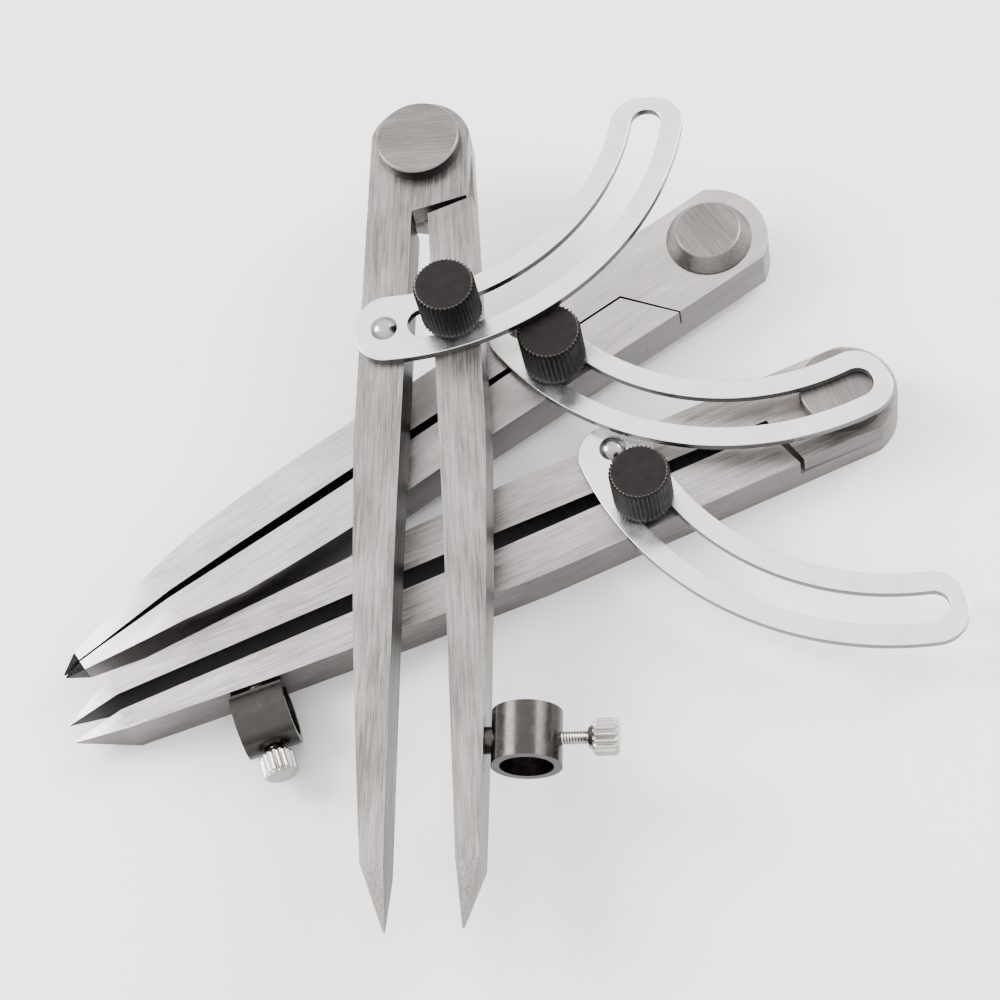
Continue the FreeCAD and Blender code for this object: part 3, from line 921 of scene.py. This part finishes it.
@dataclass
class Wing:
    """The slotted wing and the domed rivet that holds it."""

    compass: Compass
    edge_break: float = 0.22
    thickness: float = 2.0
    rivet_radius: float = 3.1
    rivet_height: float = 1.5
    rivet_shank: float = 2.0
    dome_power: float = 2.6
    dome_rows: int = 14
    around: int = 48

    def build(self, finish: BrightPlate, dome: BrightPlate) -> None:
        """Make the wing and its rivet.

        Args:
            finish: the plating.
            dome: the rivet's duller plating.
        """
        node = self.compass.node("wing")
        piece = softened(node, f"{node}_plated", self.edge_break)
        heading = self.compass.headings[Side.WING]
        plate = finish.make(f"{node}_plating", heading, tuple(self.compass.pivot))
        show(piece, self.compass.body(Side.WING), "bright_plating", [node], plate)
        node = self.compass.node("wing_rivet")
        points, quads, _ = lathe(self.rivet_profile(), self.around)
        x, y = self.compass.rivet_at
        placed = self.compass.seat(Side.WING, x, y).carry(points)
        piece = mesh_object(f"{node}_domed", placed, quads)
        show(piece, self.compass.body(Side.WING), "bright_plating", [node], dome.make(f"{node}_plating"))

    def rivet_profile(self) -> np.ndarray:
        """Give the rivet's profile: a straight shank, and a head that is a flattened dome.

        The dome's height over the wing is H (1 - (r/R)^n) at radius r, with n its power.

        Returns:
            The profile.
        """
        top = LEG_THICKNESS + self.thickness
        radius = self.rivet_radius * np.cos(np.linspace(0.0, math.pi / 2, self.dome_rows))[:-1]
        height = top + self.rivet_height * (1.0 - (radius / self.rivet_radius) ** self.dome_power)
        dome = np.column_stack([radius, height])
        shank = [(0.0, 0.0), (self.rivet_shank, 0.0), (self.rivet_shank, top + 0.01)]
        return np.vstack([shank, dome, [(0.0, top + self.rivet_height)]])


@dataclass
class Pivot:
    """The pivot's disc heads and shank."""

    compass: Compass
    shank: float = 3.5
    disc_radius: float = 10.0
    disc_height: float = 3.6
    disc_edge: float = 0.45
    tail_radius: float = 4.8
    tail_height: float = 1.3
    cone_base: float = 10.1
    cone_top: float = 7.45
    cone_height: float = 3.9
    cone_foot: float = 0.35
    disc_gap: float = 0.1
    plain_rounding: float = 0.12
    cone_rounding: float = 0.5
    cone_steps: int = 5
    lower_rounding: float = 0.3
    around: int = 128

    def build(self, finish: BrushedSteel) -> None:
        """Make the pivot.

        Args:
            finish: the disc's finish.
        """
        if self.compass.kind is Kind.PLAIN:
            self.turn("pivot_rivet", self.plain_profile(), finish)
            return
        self.turn("pivot_rivet", self.cone_profile(), finish)
        self.turn("pivot_disc", self.lower_profile(), finish, ring=True)

    def turn(self, piece: str, profile: np.ndarray, finish: BrushedSteel, ring: bool = False) -> None:
        """Turn one of the pivot's pieces.

        Args:
            piece: the node's own name.
            profile: its profile.
            finish: its finish.
            ring: whether its profile closes on itself.
        """
        node = self.compass.node(piece)
        points, quads, _ = lathe(profile, self.around, ring=ring)
        placed = self.compass.seat(Side.WING).carry(points)
        item = mesh_object(f"{node}_turned", placed, quads, crease=24.0)
        across = self.compass.headings[Side.WING] + math.pi / 2
        steel = finish.make(f"{node}_steel", across, tuple(self.compass.pivot))
        show(item, self.compass.body(Side.WING), "leg_steel", [node], steel)

    def plain_profile(self) -> np.ndarray:
        """Give the flat disc's profile, with a broken upper edge and a set tail.

        Returns:
            The profile.
        """
        foot, top = LEG_THICKNESS, LEG_THICKNESS + self.disc_height
        corners = [(0.0, 0.0), (self.tail_radius, 0.0), (self.shank, self.tail_height),
                   (self.shank, foot), (self.disc_radius, foot), (self.disc_radius, top - self.disc_edge),
                   (self.disc_radius - self.disc_edge, top), (0.0, top)]
        return rounded_profile(corners, self.plain_rounding)

    def cone_profile(self) -> np.ndarray:
        """Give the coned disc's profile, with a rounded upper edge.

        Returns:
            The profile.
        """
        low, foot, top = -self.cone_height, LEG_THICKNESS, LEG_THICKNESS + self.cone_height
        corners = [(0.0, low), (self.shank, low), (self.shank, foot), (self.cone_base, foot),
                   (self.cone_base - 0.1, foot + self.cone_foot), (self.cone_top, top), (0.0, top)]
        return rounded_profile(corners, self.cone_rounding, self.cone_steps)

    def lower_profile(self) -> np.ndarray:
        """Give the lower disc's profile: the upper cone turned over, with the shank's hole.

        Returns:
            The profile.
        """
        low, top = -self.cone_height, -self.disc_gap
        corners = [(self.shank, top), (self.shank, low), (self.cone_top, low),
                   (self.cone_base, top - self.cone_foot), (self.cone_base, top), (self.shank, top)]
        return rounded_profile(corners, self.lower_rounding)[:-1]


@dataclass
class LockKnob:
    """The knurled lock knob and its threaded stud."""

    compass: Compass
    radius: float = 7.0
    teeth: int = 42
    tooth_depth: float = 0.5
    edge: float = 0.35
    foot_edge: float = 0.9
    seat_height: float = 13.1
    top: float = 26.1
    foot: float = 3.5
    stud: float = 2.5
    stud_chamfer: float = 0.4
    thread_start: float = 0.3
    thread_pitch: float = 0.8
    thread_depth: float = 0.28
    rim: tuple = ((0.14, 0.12), (0.52, 0.04), (0.64, 0.0), (1.2, 0.0))
    wall_span: float = 1.6
    rows_per_turn: int = 6
    columns_per_tooth: int = 8

    def build(self, finish: BlackOxide, worn: BrightPlate) -> None:
        """Make the knob.

        Args:
            finish: the knob's finish.
            worn: the bare metal that shows where the rim is worn.
        """
        node = self.compass.node("lock_knob")
        profile, rim_rows = self.profile()
        points, quads, rows = lathe(profile, self.teeth * self.columns_per_tooth, self.cut)
        x, y = self.compass.knob_at
        seat = self.compass.seat(Side.LOCK, x, y)
        slots = np.isin(rows, rim_rows).astype(int)
        item = mesh_object(f"{node}_knurled", seat.carry(points), quads, slots, crease=40.0)
        show(item, f"{self.compass.where}_knob", "black_oxide", [node],
             finish.make(f"{node}_black", 0.0, tuple(seat.origin)), worn.make(f"{node}_rim"))

    def profile(self) -> tuple[np.ndarray, list[int]]:
        """Give the knob's profile and the rows that are its worn rim.

        The rim's rows are given as how far in from the wall and how far below the top they lie.

        Returns:
            The profile, and row numbers.
        """
        step = self.thread_pitch / self.rows_per_turn
        threads = np.arange(self.foot + self.thread_start, self.seat_height - 0.01, step)
        low = [(0.0, self.foot), (self.stud - self.stud_chamfer, self.foot)]
        stud = np.column_stack([np.full(len(threads), self.stud), threads])
        under = [(self.stud, self.seat_height), (self.radius - self.foot_edge, self.seat_height)]
        wall = [(self.radius, self.seat_height + self.foot_edge), (self.radius, self.top - self.edge)]
        crown = [(self.radius - inward, self.top - below) for inward, below in self.rim]
        parts = [low, stud, under, refine(np.array(wall), self.wall_span), crown, [(0.0, self.top)]]
        profile = np.vstack(parts)
        return profile, [len(profile) - len(self.rim)]

    def cut(self, radius: np.ndarray, height: np.ndarray, angle: np.ndarray) -> np.ndarray:
        """Cut the knurl and the thread.

        On the wall the radius loses depth times 1 - (1 - f)^2, where f = |2 frac(n a / 2 pi) - 1|,
        a row of straight ribs with rounded grooves.  On the stud it loses depth times the helix.

        Args:
            radius: the radii before the cut.
            height: the heights.
            angle: the angles.

        Returns:
            The cut radii.
        """
        fold = np.abs(2.0 * np.mod(angle * self.teeth / (2.0 * math.pi), 1.0) - 1.0)
        fold = 1.0 - (1.0 - fold) ** 2
        wall = smoothstep(self.radius - 0.6, self.radius - 0.3, radius)
        on_stud = np.abs(radius - self.stud) < ON_STUD
        on_stud &= (height > self.foot + 0.2) & (height < self.seat_height - 0.05)
        thread = helix(height, angle, self.thread_pitch) * on_stud
        return radius - self.tooth_depth * fold * wall - self.thread_depth * thread


@dataclass
class PencilRing:
    """The pencil ring on the lock leg, and its fluted clamp screw."""

    compass: Compass
    flutes: int = 16
    flute_depth: float = 0.62
    head_radius: float = 3.95
    head_length: float = 6.3
    head_edge: float = 0.55
    head_rounding: float = 0.15
    head_span: float = 1.2
    neck: float = 1.1
    neck_foot_share: float = 0.55
    neck_head_share: float = 0.75
    stud: float = 1.45
    stud_length: float = 7.2
    stud_chamfer: float = 0.3
    thread_start: float = 0.3
    thread_pitch: float = 0.6
    thread_depth: float = 0.2
    ring_edge_break: float = 0.3
    ring_edge_spans: int = 3
    rows_per_turn: int = 6
    columns_per_flute: int = 12

    def build(self, black: BlackOxide, nickel: BrightPlate) -> None:
        """Make the ring and its screw.

        Args:
            black: the ring's finish.
            nickel: the screw's finish.
        """
        node = self.compass.node("pencil_ring")
        ring = softened(node, f"{node}_blacked", self.ring_edge_break, self.ring_edge_spans)
        show(ring, self.compass.body(Side.LOCK), "black_oxide", [node], black.make(f"{node}_black"))
        node = self.compass.node("ring_screw")
        run = joint(f"{self.compass.where}_ring_screw_run")
        # The bottom screw's run is drawn outward, and the top one's inward.
        outward = np.array(run["axis"]) * (-1.0 if self.compass.where == "top" else 1.0)
        points, quads, _ = lathe(self.screw_profile(), self.flutes * self.columns_per_flute, self.cut)
        placed = about(outward, np.array(run["pos_m"])).carry(points)
        screw = mesh_object(f"{node}_fluted", placed, quads, crease=38.0)
        show(screw, f"{self.compass.where}_screw", "nickel", [node], nickel.make(f"{node}_nickel"))

    def screw_profile(self) -> np.ndarray:
        """Give the screw's profile, from the stud's end out to the head's face.

        Returns:
            The profile.
        """
        step = self.thread_pitch / self.rows_per_turn
        threads = np.arange(-self.stud_length + self.thread_start, -0.05, step)
        wide, face = self.head_radius, self.head_radius - self.head_edge
        head = [(self.stud, 0.0), (wide * self.neck_foot_share, 0.0),
                (wide * self.neck_head_share, self.neck), (face, self.neck),
                (wide, self.neck + self.head_edge), (wide, self.head_length - self.head_edge),
                (face, self.head_length), (0.0, self.head_length)]
        low = [(0.0, -self.stud_length), (self.stud - self.stud_chamfer, -self.stud_length)]
        stud = np.column_stack([np.full(len(threads), self.stud), threads])
        return np.vstack([low, stud, refine(rounded_profile(head, self.head_rounding), self.head_span)])

    def cut(self, radius: np.ndarray, height: np.ndarray, angle: np.ndarray) -> np.ndarray:
        """Cut the head's flutes and the stud's thread.

        The head's radius loses depth times |cos(n a / 2)|^3, which leaves wide rounded ribs with
        narrow grooves between them.  On the stud it loses depth times the helix.

        Args:
            radius: the radii before the cut.
            height: the heights.
            angle: the angles.

        Returns:
            The cut radii.
        """
        groove = np.abs(np.cos(angle * self.flutes / 2.0)) ** 3
        wall = smoothstep(self.head_radius - self.head_edge - 0.1, self.head_radius - 0.05, radius)
        on_stud = (np.abs(radius - self.stud) < ON_STUD) & (height < -0.04)
        thread = helix(height, angle, self.thread_pitch) * on_stud
        return radius - self.flute_depth * groove * wall - self.thread_depth * thread


# ------------------------------------------------------------------------------------ studio
@dataclass(frozen=True)
class Softbox:
    """One soft light that points at the middle of the floor; lengths in metres, power in watts."""

    name: str
    spot: tuple
    wide: float
    high: float
    power: float

    def hang(self) -> None:
        """Hang the light at its spot."""
        lamp = bpy.data.lights.new(self.name, "AREA")
        lamp.shape = "RECTANGLE"
        lamp.size, lamp.size_y, lamp.energy = self.wide, self.high, self.power
        item = bpy.data.objects.new(self.name, lamp)
        item.location = self.spot
        item.rotation_euler = (-Vector(self.spot)).to_track_quat("-Z", "Y").to_euler()
        bpy.context.scene.collection.objects.link(item)


@dataclass
class Studio:
    """The pale floor, the soft lights and the camera; lengths in metres, angles in degrees."""

    lens: float = 84.6
    distance: float = 0.54574
    elevation: float = 61.66
    roll: float = -18.03
    aim: tuple = (0.0070463, 0.0054129, 0.0)
    floor_half: float = 3.0
    floor_dark: tuple = (0.95, 0.95, 0.95)
    floor_pale: tuple = (0.97, 0.97, 0.97)
    floor_roughness: float = 0.9
    floor_grain: Grain = Grain(300.0, 2.0, 0.55)
    dark: float = 0.75
    pale: float = 2.3
    pale_from: float = 0.55
    softboxes: tuple = (Softbox("left", (-0.75, 0.45, 0.75), 0.5, 0.6, 18.0),
                        Softbox("right", (0.85, 0.25, 0.6), 0.4, 0.6, 10.0))

    def build(self) -> None:
        """Make the whole studio."""
        self.build_floor()
        self.build_camera()
        self.build_world()
        for box in self.softboxes:
            box.hang()

    def build_floor(self) -> None:
        """Make the floor: a level square, z = 0."""
        corners = np.array([[-1, -1, 0], [1, -1, 0], [1, 1, 0], [-1, 1, 0]]) * self.floor_half
        floor = mesh_object("floor", corners, np.array([[0, 1, 2, 3]]))
        nodes = Nodes("floor_paint")
        colour = nodes.tint(nodes.noise(self.floor_grain), self.floor_dark, self.floor_pale)
        floor.data.materials.append(nodes.finish(0.0, Base_Color=colour, Roughness=self.floor_roughness))

    def build_camera(self) -> None:
        """Aim the camera at its point on the floor from its elevation, rolled about its own axis."""
        e, rho = math.radians(self.elevation), math.radians(self.roll)
        forward = np.array([0.0, math.cos(e), -math.sin(e)])
        right = np.array([1.0, 0.0, 0.0])
        down = -np.cross(right, forward)
        across = math.cos(rho) * right - math.sin(rho) * down
        below = math.sin(rho) * right + math.cos(rho) * down
        place = np.eye(4)
        place[:3, 0], place[:3, 1], place[:3, 2] = across, -below, -forward
        place[:3, 3] = np.array(self.aim) - forward * self.distance
        camera = bpy.data.objects.new("camera", bpy.data.cameras.new("camera"))
        camera.data.lens = self.lens
        camera.data.sensor_width = 36.0
        camera.matrix_world = Matrix(place.tolist())
        bpy.context.scene.collection.objects.link(camera)
        bpy.context.scene.camera = camera

    def build_world(self) -> None:
        """Make the room: pale above, falling to dark below the horizon."""
        world = bpy.data.worlds.new("room")
        world.use_nodes = True
        tree = world.node_tree
        axis = tree.nodes.new("ShaderNodeSeparateXYZ")
        tree.links.new(tree.nodes.new("ShaderNodeTexCoord").outputs["Generated"], axis.inputs[0])
        ramp = tree.nodes.new("ShaderNodeValToRGB")
        tree.links.new(axis.outputs["Z"], ramp.inputs["Fac"])
        stops = ((0.0, self.dark), (self.pale_from, self.pale))
        for element, (position, grey) in zip(ramp.color_ramp.elements, stops):
            element.position = position
            element.color = (grey, grey, grey, 1.0)
        tree.links.new(ramp.outputs["Color"], tree.nodes["Background"].inputs["Color"])
        tree.nodes["Background"].inputs["Strength"].default_value = 1.0
        bpy.context.scene.world = world


def main() -> None:
    """Build the three compasses and the studio round them."""
    logging.basicConfig(level=logging.INFO, format="%(message)s")
    # Each finish's share for upright faces below is painted shade that darkens them.
    plate = BrightPlate()
    dome = BrightPlate(light=(0.46, 0.45, 0.44), dark=(0.32, 0.31, 0.30), roughness=0.2, wall_shade=0.15)
    nickel = BrightPlate(light=(0.76, 0.73, 0.68), dark=(0.50, 0.47, 0.43), roughness=0.24, wall_shade=0.45)
    worn = BrightPlate(light=(0.17, 0.16, 0.15), dark=(0.09, 0.085, 0.08), roughness=0.36, wall_shade=0.6)
    black = BlackOxide()
    gunmetal = BlackOxide(dark=(0.050, 0.045, 0.041), worn=(0.066, 0.061, 0.056), roughness=0.22,
                          metal=0.95, relief=0.04, wall_shade=0.3)
    steel = {"top": BrushedSteel(),
             "middle": BrushedSteel(light=(0.60, 0.57, 0.55), dark=(0.40, 0.376, 0.362), grain=0.25,
                                    pits=0.5, wall_shade=0.36),
             "bottom": BrushedSteel(light=(0.52, 0.49, 0.468), dark=(0.24, 0.222, 0.21), pits=0.7,
                                    wall_shade=0.4)}
    discs = BrushedSteel(light=(0.27, 0.25, 0.235), dark=(0.145, 0.132, 0.123), pits=0.3, wall_shade=0.10)
    pile = (Compass("top", Kind.PLAIN, (6.0, -49.5), (-5.745, -51.344), 7.0),
            Compass("middle", Kind.HARD, (5.65, -47.5), (-6.916, -49.048), 7.3),
            Compass("bottom", Kind.PLAIN, (5.2, -51.6), (-8.559, -53.042), 6.8))
    for compass in pile:
        legs = Legs(compass)
        legs.build(steel[compass.where])
        Wing(compass).build(plate, dome)
        Pivot(compass).build(discs)
        LockKnob(compass, compass.knob_radius).build(black, worn)
        if compass.kind is Kind.PLAIN:
            PencilRing(compass).build(gunmetal, nickel)
        else:
            legs.build_tips(DarkHardSteel())
    Studio().build()


if __name__ == "__main__":
    main()
